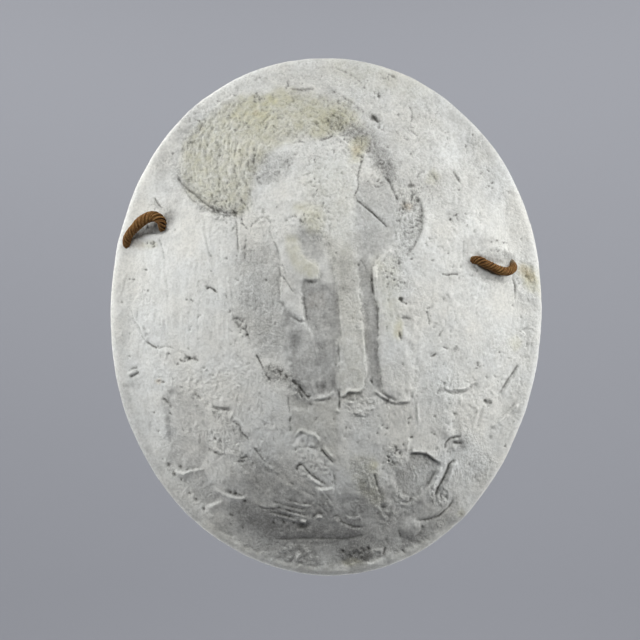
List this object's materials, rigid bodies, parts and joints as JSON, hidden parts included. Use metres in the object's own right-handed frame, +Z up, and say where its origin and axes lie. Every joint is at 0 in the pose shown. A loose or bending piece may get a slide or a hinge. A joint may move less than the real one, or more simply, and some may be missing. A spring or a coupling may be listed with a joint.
{
  "type": "plaster intaglio",
  "caption": "Oval plaster wall plaque with a sunken carved face and a domed hand-smeared back, hung by rope loops cast into the back.",
  "frame": {"origin": "on the wall plane that the crown of the back touches, on the upright centre line, at the height of the rope loops, 50 mm above the oval's centre", "axes": "+Z up, -Y the way the face looks, +Y into the wall, +X to the right of someone who faces the plaque on its wall"},
  "size_m": [0.34, 0.0621, 0.41],
  "materials": {
    "plaster": "matt cast plaster, smeared and brushed by hand, with grey dirt in its hollows and a few yellow stains",
    "rope": "brown natural fibre rope of twisted strands"
  },
  "bodies": {
    "root": {"plaster_casting": "plaster", "rope_loop_left": "rope", "rope_loop_right": "rope"}
  },
  "joints": []
}
